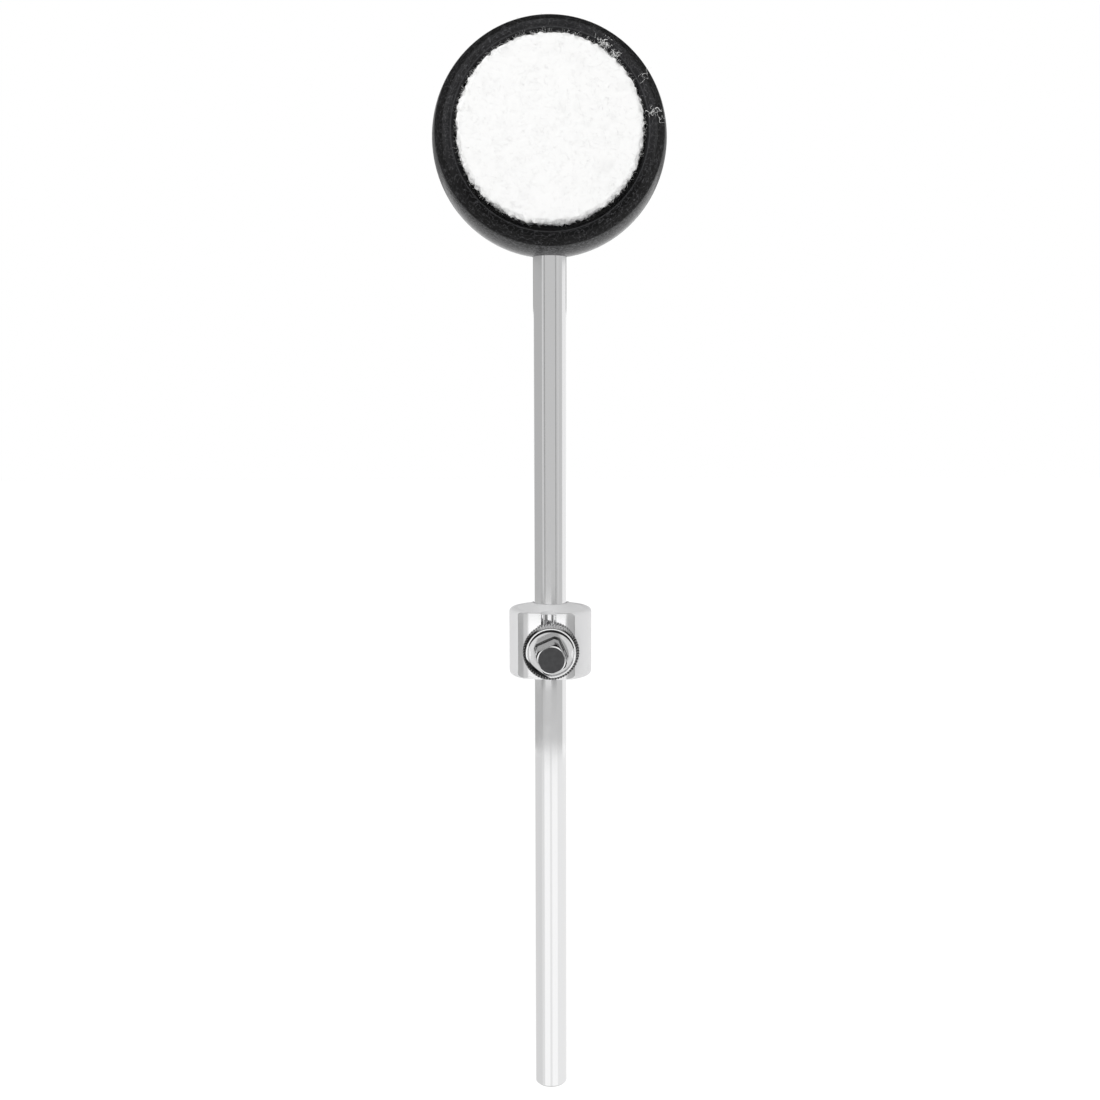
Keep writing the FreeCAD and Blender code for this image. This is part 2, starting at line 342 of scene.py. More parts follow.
def rod_finish(colours):
    """Bright plating over a ground rod: fine lines along it, a slight haze and painted shade on the chamfer
    at its tip.
    """
    finish = Finish("bright_rod_plating", colours.rod_plating, 0.16, metallic=1.0)
    haze = finish.noise(260.0, 3.0)
    grain = finish.noise(5200.0, 2.0, (1.0, 1.0, 0.05))
    finish.feed("Roughness", finish.spread(haze, 0.3, 0.75, 0.07, 0.11))
    # Painted shade on the tip's chamfer, which darkens its plating.
    tip_painted_shade = finish.spread(finish.height(), rod_tip_chamfer - 0.00005, rod_tip_chamfer + 0.00005, 1.0, 0.0)
    finish.feed("Base Color", finish.tint(tip_painted_shade, colours.rod_plating, scaled(colours.rod_plating, 0.4)))
    finish.bump(grain, 0.000002, 0.5)
    return finish.material


def screw_finish(colours):
    """Polished plating with painted shade over the flange's dish, a painted highlight ring on the key's
    chamfer and two painted highlight patches in the dish. It has painted shade lines along the foot and the
    shoulder of the key, and painted shade at the dish's upper edge and at the flange's lower left."""
    finish = Finish("bright_screw_plating", colours.lock_plating, 0.1, metallic=1.0)
    haze = finish.noise(420.0, 3.0)
    depth = finish.depth()
    circle_blur = 0.00008
    depth_blur = 0.00003

    def within(circle):
        """1 inside a circle about a line along the screw, and 0 outside it."""
        across, up, radius = circle
        off_line = finish.off_level_axis(lock_height + up, across)
        return finish.spread(off_line, radius - circle_blur, radius, 1.0, 0.0)

    def between(first, last):
        """1 between two depths, and 0 before and behind them."""
        return finish.times(
            finish.spread(depth, first, first + depth_blur, 0.0, 1.0),
            finish.spread(depth, last - depth_blur, last, 1.0, 0.0))

    in_dish = between(*dish_depths)
    # Painted highlights: two patches in the dish and a ring on the key's chamfer, in pale, nearly
    # non-metallic plating.
    gleams = finish.times(in_dish, finish.most(*map(within, dish_painted_gleams)))
    bright = finish.most(gleams, between(*chamfer_depths))
    # Painted shade lines at the key's foot and shoulder.
    lines = finish.most(between(*foot_depths), between(*shoulder_depths))
    # Painted shade over the dish: a third of it within the dish circle, full outside it at the upper edge,
    # none on the painted highlights.
    shaded_dish = finish.times(in_dish, finish.graded(within(dish_painted_shade), 1.0, 0.33))
    shaded_dish = finish.times(shaded_dish, finish.graded(bright, 1.0, 0.0))
    # All painted shade together, with the flange's lower left outside the rim circle.
    dark = finish.most(finish.most(lines, shaded_dish), finish.graded(within(rim_painted_shade), 1.0, 0.0))
    finish.feed("Metallic", finish.graded(bright, 1.0, 0.1))
    finish.feed("Roughness", finish.spread(haze, 0.3, 0.7, 0.08, 0.14))
    # Painted shade darkens the plating towards half the key end's colour.
    finish.feed("Base Color", finish.tint(dark, colours.lock_plating, scaled(colours.key_end, 0.5)))
    finish.bump(finish.noise(6500.0, 3.0), 0.000003, 0.4)
    return finish.material


def collar_finish(colours):
    """Satin plating that is polished bright on the collar's crowned front and in its groove. The crown lies
    beyond its distance from its own upright axis, the groove within its distance of another and below the
    collar's top, and nothing else does."""
    finish = Finish("collar_plating", colours.collar_satin, 0.3)
    haze = finish.noise(420.0, 3.0)
    grain = finish.noise(6500.0, 3.0)
    crowned = finish.spread(finish.off_upright_axis(crown_axis), *crown_polish, 0.0, 1.0)
    grooved = finish.spread(finish.off_upright_axis(groove_axis), *groove_polish, 1.0, 0.0)
    under_top = finish.spread(finish.height(), collar_top - 0.0007, collar_top - 0.0005, 1.0, 0.0)
    polished = finish.most(crowned, finish.times(grooved, under_top))
    satin = finish.spread(haze, 0.3, 0.7, 0.54, 0.64)
    finish.feed("Roughness", finish.times(satin, finish.graded(polished, 1.0, 0.14)))
    finish.feed("Metallic", finish.graded(polished, 0.35, 1.0))
    finish.feed("Base Color", finish.tint(polished, colours.collar_satin, colours.lock_plating))
    finish.bump(grain, 0.000003, 0.4)
    return finish.material


def washer_finish(colours):
    """Plating that is dark, lightened by painted light at the washer's top, with painted highlights along the
    tips of its front teeth and on its rim at the left, and painted shade beside the flange everywhere but at
    the top."""
    finish = Finish("washer_plating", colours.washer_plating, 0.25, metallic=1.0)
    off_axis = finish.off_level_axis(lock_height)
    off_top = finish.off_level_axis(lock_height + washer_radius)
    off_left = finish.off_level_axis(lock_height, -washer_radius)
    rim_highlight_band = (washer_radius - 0.00022, washer_radius - 0.00006)
    teeth_highlight_depths = (washer_front - 0.0001, washer_front - 0.00002)
    edge_shade_band = (flange_radius + 0.0001, flange_radius + 0.0003)
    edge_shade_shift = 0.0002
    at_left = finish.spread(off_left, 0.004, 0.007, 1.0, 0.0)
    # Painted highlights on the rim at the left and along the tips of the front teeth.
    rim_painted_highlight = finish.times(at_left, finish.spread(off_axis, *rim_highlight_band, 0.0, 1.0))
    teeth_painted_highlight = finish.spread(finish.depth(), *teeth_highlight_depths, 0.0, 0.9)
    # Painted light: the washer's top is lighter.
    grey = finish.spread(off_top, 0.0035, 0.0065, 0.85, 0.05)
    tone = finish.most(grey, finish.most(rim_painted_highlight, teeth_painted_highlight))
    # Painted shade beside the flange, wider at the left and kept off the top.
    off_edge = finish.combine("SUBTRACT", off_axis, finish.times(at_left, edge_shade_shift))
    beyond_edge = finish.times(finish.spread(off_edge, *edge_shade_band, 0.0, 1.0), tone)
    at_top = finish.spread(off_top, 0.0025, 0.004, 1.0, 0.0)
    tone = finish.most(beyond_edge, finish.times(tone, at_top))
    haze = finish.noise(900.0, 3.0)
    finish.feed("Roughness", finish.spread(haze, 0.3, 0.7, 0.2, 0.34))
    finish.feed("Base Color", finish.tint(tone, colours.washer_plating, colours.lock_plating))
    finish.bump(haze, 0.000004, 0.4)
    return finish.material


def key_end_finish(colours):
    """Blackened end of the key, with cloudy wear and a fine grain."""
    finish = Finish("blackened_key_end", colours.key_end, 0.5, metallic=0.3)
    wear = finish.noise(900.0, 3.0)
    finish.feed("Base Color", finish.tint(
        finish.spread(wear, 0.4, 0.8, 0.0, 1.0), colours.key_end, scaled(colours.key_end, 1.5)))
    finish.feed("Roughness", finish.spread(wear, 0.3, 0.7, 0.42, 0.56))
    finish.bump(finish.noise(7000.0, 2.0), 0.000004, 0.5)
    return finish.material


def ring_finish(colours):
    """Black rubber with a pebble grain, dull and finely wrinkled on its shoulders, smoother on its lips, and
    smoother round its side, which is widest at the bottom and has painted speckled highlights, stronger on
    its lower half. A painted highlight line edges each lip. The upper half has painted light in patches
    within a line on the shoulder, and stands a little higher there."""
    finish = Finish("black_ring_rubber", colours.ring, 0.45)
    finish.set("Specular IOR Level", 0.15)
    pebbles = finish.cells(1400.0)
    clouds = finish.noise(1500.0, 4.0)
    patches = finish.noise(160.0, 3.0)
    height = finish.height()
    off_axis = finish.off_level_axis(head_height)
    lip_line = (0.0225, 0.0226)
    lip_highlight_fade = (0.0227, 0.0229)
    upper_lip_line = (0.0245, 0.0247)
    shoulder_start = (0.0063, 0.0072)
    shoulder_lean = 0.1
    upper_start = (head_height - 0.013, head_height - 0.003)
    leaning_depth = finish.plus(
        finish.depth(), finish.times(finish.combine("SUBTRACT", height, head_height), shoulder_lean))
    past_lip = finish.spread(off_axis, *lip_line, 0.0, 1.0)
    dull = finish.times(finish.spread(leaning_depth, *shoulder_start, 0.0, 1.0), past_lip)
    smooth = finish.spread(clouds, 0.3, 0.7, 0.08, 0.24)
    finish.feed("Roughness", finish.plus(smooth, finish.graded(dull, 0.0, 0.6)))
    upper = finish.spread(height, *upper_start, 0.0, 1.0)
    # Painted light: the upper lip, within the line on the shoulder, is paler in patches.
    upper_lip_zone = finish.times(upper, finish.spread(off_axis, *upper_lip_line, 1.0, 0.0))
    painted_upper_light = finish.times(upper_lip_zone, finish.spread(patches, 0.3, 0.7, 0.11, 0.17))
    # Painted highlight line just outside each lip's line.
    painted_lip_highlight = finish.times(past_lip, finish.spread(off_axis, *lip_highlight_fade, 0.25, 0.0))
    wave = finish.combine("ABSOLUTE", finish.combine("SUBTRACT", finish.noise(800.0, 2.0), 0.5), 0.0)
    wrinkles = finish.times(dull, finish.spread(wave, 0.004, 0.022, 0.45, 0.0))
    side = finish.times(past_lip, finish.graded(dull, 1.0, 0.0))
    # Painted speckled highlights round the side, stronger on the lower half.
    painted_speck_strength = finish.times(side, finish.graded(upper, 0.65, 0.3))
    painted_specks = finish.times(painted_speck_strength, finish.spread(finish.noise(2000.0, 2.0), 0.42, 0.66, 0.0, 1.0))
    # Painted light and highlights, together with the pale wrinkles.
    pale = finish.plus(painted_upper_light, finish.most(painted_specks, finish.most(painted_lip_highlight, wrinkles)))
    finish.feed("Base Color", finish.tint(pale, colours.ring, scaled(colours.ring, 40.0)))
    grain = finish.times(finish.plus(pebbles, clouds), finish.graded(dull, 0.6, 1.0))
    finish.bump(finish.plus(grain, finish.times(upper_lip_zone, 1.3)), 0.00006, 0.5)
    return finish.material


def core_finish(colours):
    """Moulded plastic with a spark-eroded grain, pale scuffs where the back has struck, and the mark of the
    mould's gate at the middle of the dome."""
    finish = Finish("black_core_plastic", colours.core, 0.5)
    grain = finish.noise(3800.0, 3.0)
    scuffs = finish.spread(finish.noise(190.0, 6.0, (1.0, 1.0, 0.7)), 0.5, 0.8, 0.4, 1.0)
    gate_edge = (0.0014, 0.00155)
    off_gate = finish.spread(finish.off_level_axis(head_height), *gate_edge, 0.0, 1.0)
    finish.feed("Roughness", finish.spread(grain, 0.3, 0.7, 0.38, 0.56))
    finish.feed("Base Color", finish.tint(
        finish.times(scuffs, off_gate), scaled(colours.core, 0.3), scaled(colours.core, 2.2)))
    finish.bump(finish.plus(grain, off_gate), 0.00004, 0.4)
    return finish.material


def felt_finish(colours):
    """Pressed felt: matted fibre clouds at two scales, faint grey flecks and a soft sheen."""
    finish = Finish("white_pressed_felt", colours.felt, 1.0)
    finish.set("Sheen Weight", 0.25)
    finish.set("Sheen Roughness", 0.6)
    finish.set("Specular IOR Level", 0.1)
    mat = finish.noise(900.0, 5.0)
    strands = finish.noise(2600.0, 4.0, (1.0, 1.0, 0.35))
    flecks = finish.noise(240.0, 6.0)
    finish.feed("Base Color", finish.tint(
        finish.spread(flecks, 0.55, 0.85, 0.0, 1.0), colours.felt, scaled(colours.felt, 0.9)))
    finish.bump(finish.plus(mat, strands), 0.00004, 0.35)
    return finish.material


def fibre_finish(name, colour):
    """Single wool fibres, paler and darker along their length."""
    finish = Finish(name, colour, 0.9)
    finish.set("Sheen Weight", 0.2)
    finish.feed("Base Color", finish.tint(
        finish.spread(finish.noise(1200.0, 2.0), 0.3, 0.7, 0.0, 1.0), colour, scaled(colour, 0.85)))
    return finish.material


def machined_finish(name, colour, roughness):
    """Bare turned metal of the hidden fittings."""
    finish = Finish(name, colour, roughness, metallic=1.0)
    marks = finish.noise(3000.0, 2.0, (1.0, 1.0, 6.0))
    finish.feed("Roughness", finish.spread(marks, 0.3, 0.7, roughness * 0.8, roughness * 1.2))
    finish.feed("Base Color", finish.tint(marks, colour, scaled(colour, 0.85)))
    finish.bump(marks, 0.000004, 0.5)
    return finish.material


def repaint(node, material):
    """Gives a solid of the frame its finish."""
    for place in frame["nodes"][node].material_slots:
        place.material = material


def softened(corners, reach, steps=6):
    """Profile with its inner corners rounded. A corner c becomes the curve
    (1 - s)^2 a + 2 s (1 - s) c + s^2 b, where a and b lie reach before and after it, and one more point
    a quarter of reach beyond each end keeps the straight runs flat."""
    corners = np.asarray(corners, float)
    reach = np.broadcast_to(np.asarray(reach, float), len(corners) - 2)[:, None]
    inner = corners[1:-1]
    before = unit(corners[:-2] - inner)
    after = unit(corners[2:] - inner)
    start = (inner + before * reach)[:, None]
    end = (inner + after * reach)[:, None]
    share = np.linspace(0.0, 1.0, steps)[None, :, None]
    curve = (1 - share) ** 2 * start + 2 * share * (1 - share) * inner[:, None] + share ** 2 * end
    lead = (inner + 1.25 * before * reach)[:, None]
    trail = (inner + 1.25 * after * reach)[:, None]
    rows = np.concatenate([lead, curve, trail], axis=1).reshape(-1, 2)
    return np.vstack([corners[:1], rows, corners[-1:]])


def unit(vectors):
    """Vectors at length 1."""
    return vectors / np.linalg.norm(vectors, axis=-1, keepdims=True)


def turns(count):
    """Angles of count columns round a full turn."""
    return np.arange(count) * full_turn / count


def round_rod(radius, height, turn):
    """Points (radius cos turn, radius sin turn, height) about the rod's axis."""
    radius, height, turn = np.broadcast_arrays(radius, height, turn)
    return np.stack([radius * np.cos(turn), radius * np.sin(turn), height], axis=-1)


def facing_front(radius, reach, turn, centre_height):
    """Points (radius cos turn, -reach, centre + radius sin turn) about an axis that looks along -Y."""
    radius, reach, turn = np.broadcast_arrays(radius, reach, turn)
    return np.stack([radius * np.cos(turn), -reach, centre_height + radius * np.sin(turn)], axis=-1)


def signed_volume(points, quads, triangles):
    """Volume inside the faces, negative where they point inwards: the sum of a . (b x c) / 6."""
    thirds = np.concatenate([quads[:, [0, 1, 2]], quads[:, [0, 2, 3]], triangles])
    a, b, c = (points[thirds[:, column]] for column in range(3))
    return np.einsum("ij,ij->i", a, np.cross(b, c)).sum() / 6


def add_piece(name, points, quads, triangles, materials, body):
    """Puts points and faces into a smooth piece that rides on a body, with its faces turned outwards."""
    points = np.asarray(points, float).reshape(-1, 3)
    triangles = np.asarray(triangles, int).reshape(-1, 3)
    if signed_volume(points - points.mean(axis=0), quads, triangles) < 0:
        quads = quads[:, ::-1]
        triangles = triangles[:, ::-1]
    mesh = bpy.data.meshes.new(name)
    mesh.from_pydata(points.tolist(), [], quads.tolist() + triangles.tolist())
    mesh.polygons.foreach_set("use_smooth", np.ones(len(mesh.polygons), bool))
    for material in materials:
        mesh.materials.append(material)
    mesh.update()
    piece = bpy.data.objects.new(name, mesh)
    bpy.context.scene.collection.objects.link(piece)
    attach(piece, body)
    return piece


def ring_faces(rows, columns, loop=False):
    """Quads of a grid of closed rings, where point (i, j) joins (i + 1, j) and (i, j + 1). A loop also joins
    the last ring to the first."""
    grid = np.arange(rows * columns).reshape(rows, columns)
    upper = grid if loop else grid[:-1]
    lower = np.roll(grid, -1, axis=0) if loop else grid[1:]
    return np.stack(
        [upper, np.roll(upper, -1, axis=1), np.roll(lower, -1, axis=1), lower], axis=-1).reshape(-1, 4)


def turned_piece(name, rings, materials, body):
    """Closed piece from a stack of rings, whose first and last rings are each a single pole."""
    rows, columns = rings.shape[0] - 2, rings.shape[1]
    quads = ring_faces(rows, columns)
    first = np.arange(columns)
    last = first + (rows - 1) * columns
    start_pole = np.full(columns, rows * columns)
    end_pole = start_pole + 1
    triangles = np.concatenate([
        np.stack([start_pole, np.roll(first, -1), first], axis=1),
        np.stack([end_pole, last, np.roll(last, -1)], axis=1),
    ])
    points = np.vstack([rings[1:-1].reshape(-1, 3), rings[0, :1], rings[-1, :1]])
    return add_piece(name, points, quads, triangles, materials, body)


def ripples(points, shortest, longest, count, seed):
    """Unit ripples at points: the sum of count cosines of random direction, length and phase, over the root
    of half their number."""
    draw = np.random.default_rng(seed)
    ways = draw.normal(size=(count, 3))
    ways /= np.linalg.norm(ways, axis=1, keepdims=True)
    lengths = draw.uniform(shortest, longest, count)
    phases = draw.uniform(0.0, full_turn, count)
    angles = np.asarray(points).reshape(-1, 3) @ (ways / lengths[:, None]).T * full_turn + phases
    return (np.cos(angles).sum(axis=1) / math.sqrt(count / 2)).reshape(np.asarray(points).shape[:-1])


def fibre_points(roots, ways, lengths, curl, windings, thickness, points, seed):
    """Three-sided tubes. Fibre i runs along root + length t way, bent by a helix of radius curl times its
    length with the given windings, and thins to a third at its tip. Each has points rings along it."""
    draw = np.random.default_rng(seed)
    along = np.linspace(0.0, 1.0, points)
    ways = unit(ways)
    side = unit(np.cross(ways, unit(draw.normal(size=ways.shape))))
    other = np.cross(ways, side)
    start = draw.uniform(0.0, full_turn, len(roots))[:, None]
    angle = start + full_turn * windings[:, None] * along
    bend = ((np.cos(angle) - np.cos(start))[..., None] * side[:, None]
            + (np.sin(angle) - np.sin(start))[..., None] * other[:, None])
    path = roots[:, None] + lengths[:, None, None] * (
        along[:, None] * ways[:, None] + curl[:, None, None] * bend)
    corners = turns(3)
    section = (np.cos(corners)[:, None] * side[:, None] + np.sin(corners)[:, None] * other[:, None])[:, None]
    radius = thickness[:, None] * (1 - 0.66 * along)
    return path[:, :, None] + radius[..., None, None] * section


def fibre_piece(name, tubes, material):
    """One piece from an array of tubes, each closed by a triangle at both ends."""
    count, points = tubes.shape[:2]
    start = (np.arange(count) * points * 3)[:, None]
    quads = (ring_faces(points, 3)[None] + start[..., None]).reshape(-1, 4)
    triangles = np.concatenate([start + [[0, 2, 1]], start + (points - 1) * 3 + [[0, 1, 2]]])
    triangles = triangles.reshape(-1, 3)
    return add_piece(name, tubes, quads, triangles[:, ::-1], [material], "beater")


def ring_front(radius):
    """Reach of the ring's front at a radius: a straight lip from the mouth to the edge, and from there the
    barrel's arc, whose sweep joins the edge to the belly."""
    drop = belly_radius - ring_edge_radius
    sweep = (drop ** 2 + ring_half_depth ** 2) / (2 * drop)
    slope = (radius - ring_mouth_radius) / (ring_edge_radius - ring_mouth_radius)
    lip = ring_half_depth - ring_lip_depth * (1 - slope)
    rise = radius - belly_radius + sweep
    barrel = np.sqrt(np.clip(sweep ** 2 - rise ** 2, 0.0, None))
    return np.where(radius < ring_edge_radius, lip, barrel)


def felt_edge(turn):
    """Radius of the felt's hand-cut edge at a turn: the felt's radius less a trim all round, and less another
    at the bottom times the square of (1 + cos(turn + 85 degrees)) / 2."""
    trim = 0.0002
    bottom_trim = 0.00055
    bottom_share = ((1 + np.cos(turn + math.radians(85.0))) / 2) ** 2
    return felt_radius - trim - bottom_trim * bottom_share


class BEATER_OT_dress_rod(bpy.types.Operator):
    """Turns the plated rod with its softened tip, shoulder and thread end"""

    bl_idname = "beater.dress_rod"
    bl_label = "Dress rod"

    def execute(self, context):
        profile = softened(
            [(0.0, 0.0), (rod_radius - rod_tip_chamfer, 0.0), (rod_radius, rod_tip_chamfer),
             (rod_radius, rod_shoulder), (rod_thread_radius, rod_shoulder),
             (rod_thread_radius, rod_top - rod_thread_chamfer),
             (rod_thread_radius - rod_thread_chamfer, rod_top), (0.0, rod_top)],
            [0.0001, 0.00012, 0.0001, 0.0001, 0.0001, 0.0001])
        rings = round_rod(profile[:, :1], profile[:, 1:], turns(96))
        rod = turned_piece(
            "plated_rod", rings, [rod_finish(context.scene.beater_colours)], "beater")
        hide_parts("rod")
        return {"FINISHED"}


class BEATER_OT_dress_head(bpy.types.Operator):
    """Gives the ring, the core and the fittings inside the head their finishes"""

    bl_idname = "beater.dress_head"
    bl_label = "Dress head"

    def execute(self, context):
        colours = context.scene.beater_colours
        repaint("head_ring", ring_finish(colours))
        repaint("head_core", core_finish(colours))
        repaint("rod_insert", machined_finish("turned_brass", colours.brass, 0.3))
        repaint("lock_pin", machined_finish("ground_pin_steel", colours.pin_steel, 0.35))
        return {"FINISHED"}


class BEATER_OT_make_felt(bpy.types.Operator):
    """Makes the felt pad with its soft edge and matted surface"""

    bl_idname = "beater.make_felt"
    bl_label = "Make felt"

    def execute(self, context):
        sizes = context.scene.beater_sizes
        edge = sizes.felt_edge_round
        turn = turns(400)
        flat = np.linspace(0.0, felt_radius - edge, 84)
        bend = np.linspace(0.0, math.pi / 2, 16)[1:]
        side = np.linspace(felt_front - edge, felt_back, 26)[1:]
        rear = np.linspace(felt_radius, 0.0, 14)[1:]
        radius = np.concatenate([
            flat, felt_radius - edge * (1 - np.sin(bend)), np.full(len(side), felt_radius), rear])
        reach = np.concatenate([
            np.full(len(flat), felt_front), felt_front - edge * (1 - np.cos(bend)), side,
            np.full(len(rear), felt_back)])
        out = np.concatenate([
            np.zeros(len(flat)), np.sin(bend), np.ones(len(side)), np.zeros(len(rear))])
        ahead = np.concatenate([
            np.ones(len(flat)), np.cos(bend), np.zeros(len(side)), np.zeros(len(rear))])
        # The side and the rounded edge ripple far more than the face
        wild = 0.15 + 2.0 * out
        radius = radius[:, None] * felt_edge(turn) / felt_radius
        plain = facing_front(radius, reach[:, None], turn, head_height)
        broad = ripples(plain, shortest=0.0025, longest=0.007, count=60, seed=11)
        fine = ripples(plain, shortest=0.0008, longest=0.002, count=80, seed=12)
        lift = sizes.felt_ripple * wild[:, None] * (0.6 * broad + 0.7 * fine)
        lift[0] = lift[0].mean()
        rings = facing_front(
            radius + lift * out[:, None], reach[:, None] + lift * ahead[:, None], turn, head_height)
        felt = turned_piece(
            "felt_disc", rings, [felt_finish(context.scene.beater_colours)], "beater")
        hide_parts("felt_pad")
        return {"FINISHED"}


# Tufts pulled out of the felt's rim: fibres, angle and its spread in degrees, radius and its spread, longest
# fibre and fibre thickness in metres
loose_tufts = (
    (22, 57.2, 1.4, 0.0224, 0.0003, 0.0021, 0.00014),
    (15, 48.4, 0.9, 0.0221, 0.0003, 0.0018, 0.00014),
    (3, 28.7, 1.5, 0.0233, 0.0004, 0.0034, 0.00006),
    (8, 9.5, 1.0, 0.0237, 0.0004, 0.002, 0.00009),
    (3, 7.0, 0.6, 0.0254, 0.0005, 0.0024, 0.00007),
)


class BEATER_OT_make_fuzz(bpy.types.Operator):
    """Adds the fibres that stand out of the felt, the loose curls at its rim and the lint on the ring"""

    bl_idname = "beater.make_fuzz"
    bl_label = "Make fuzz"

    def execute(self, context):
        sizes = context.scene.beater_sizes
        colours = context.scene.beater_colours
        wool = fibre_finish("white_wool_fibre", colours.felt)
        fibre_piece("felt_edge_fuzz", self.edge_fuzz(sizes), wool)
        fibre_piece("felt_face_fuzz", self.face_fuzz(sizes), wool)
        fibre_piece("felt_loose_curls", self.loose_curls(), wool)
        lint = fibre_finish("grey_lint", colours.lint)
        fibre_piece("ring_lint", self.ring_lint(sizes), lint)
        return {"FINISHED"}

    def edge_fuzz(self, sizes):
        """Fibres rooted on the rounded edge at random angles, that lean outwards along its normal."""
        draw = np.random.default_rng(21)
        count = sizes.edge_fuzz_count
        turn = draw.uniform(0.0, full_turn, count)
        bend = draw.uniform(0.15, 1.5, count)
        edge = sizes.felt_edge_round
        radius = felt_edge(turn) - edge * (1 - np.sin(bend))
        reach = felt_front - edge * (1 - np.cos(bend))
        roots = facing_front(radius, reach, turn, head_height)
        normal = facing_front(np.sin(bend), np.cos(bend), turn, 0.0)
        ways = normal + 0.9 * draw.normal(size=roots.shape)
        lengths = sizes.fuzz_length * draw.uniform(0.2, 0.75, count)
        return fibre_points(
            roots, ways, lengths,
            curl=draw.uniform(0.05, 0.25, count), windings=draw.uniform(0.3, 1.1, count),
            thickness=sizes.fuzz_thickness * draw.uniform(0.6, 1.1, count), points=7, seed=22)

    def face_fuzz(self, sizes):
        """Fibres spread evenly over the face, which lie along it and rise a little."""
        draw = np.random.default_rng(31)
        count = sizes.face_fuzz_count
        turn = draw.uniform(0.0, full_turn, count)
        radius = (felt_radius - sizes.felt_edge_round) * np.sqrt(draw.uniform(0.0, 1.0, count))
        roots = facing_front(radius, felt_front, turn, head_height)
        heading = draw.uniform(0.0, full_turn, count)
        ways = facing_front(np.ones(count), draw.uniform(0.05, 0.3, count), heading, 0.0)
        lengths = sizes.fuzz_length * draw.uniform(0.3, 1.0, count)
        return fibre_points(
            roots, ways, lengths,
            curl=draw.uniform(0.04, 0.16, count), windings=draw.uniform(0.3, 1.0, count),
            thickness=sizes.fuzz_thickness * draw.uniform(0.6, 1.0, count), points=7, seed=32)

    def loose_curls(self):
        """Longer curls pulled out of the rim. Each tuft scatters its fibres about its own angle and radius
        with a normal spread, and its fibres head outwards from the felt."""
        draw = np.random.default_rng(41)
        tufts = np.repeat(np.arange(len(loose_tufts)), [tuft[0] for tuft in loose_tufts])
        angle, spread, distance, scatter, longest, thickness = np.array(loose_tufts)[tufts, 1:].T
        count = len(tufts)
        stand = 0.0003
        turn = np.radians(angle + spread * draw.normal(size=count))
        radius = np.maximum(distance + scatter * draw.normal(size=count), felt_radius)
        reach = ring_front(np.maximum(radius, ring_mouth_radius)) + stand
        roots = facing_front(radius, reach, turn, head_height)
        heading = turn + draw.normal(0.0, 1.2, count)
        ways = facing_front(np.ones(count), draw.uniform(-0.1, 0.4, count), heading, 0.0)
        lengths = longest * draw.uniform(0.5, 1.0, count)
        return fibre_points(
            roots, ways, lengths,
            curl=draw.uniform(0.12, 0.3, count), windings=draw.uniform(0.8, 1.8, count),
            thickness=thickness * draw.uniform(0.7, 1.2, count), points=14, seed=42)

    def ring_lint(self, sizes):
        """Short curled fibres that lie on the upper half of the ring's lip and shoulder."""
        draw = np.random.default_rng(51)
        count = sizes.lint_count
        stand = 0.00006
        thickness = 0.00002
        turn = draw.uniform(-0.02, 0.52, count) * full_turn
        radius = draw.uniform(0.0221, 0.0248, count)
        roots = facing_front(radius, ring_front(radius) + stand, turn, head_height)
        heading = draw.uniform(0.0, full_turn, count)
        ways = facing_front(np.ones(count), draw.uniform(0.0, 0.2, count), heading, 0.0)
        lengths = draw.uniform(0.0005, 0.0016, count)
        return fibre_points(
            roots, ways, lengths,
            curl=draw.uniform(0.1, 0.3, count), windings=draw.uniform(0.3, 0.9, count),
            thickness=thickness * draw.uniform(0.7, 1.2, count), points=8, seed=52)


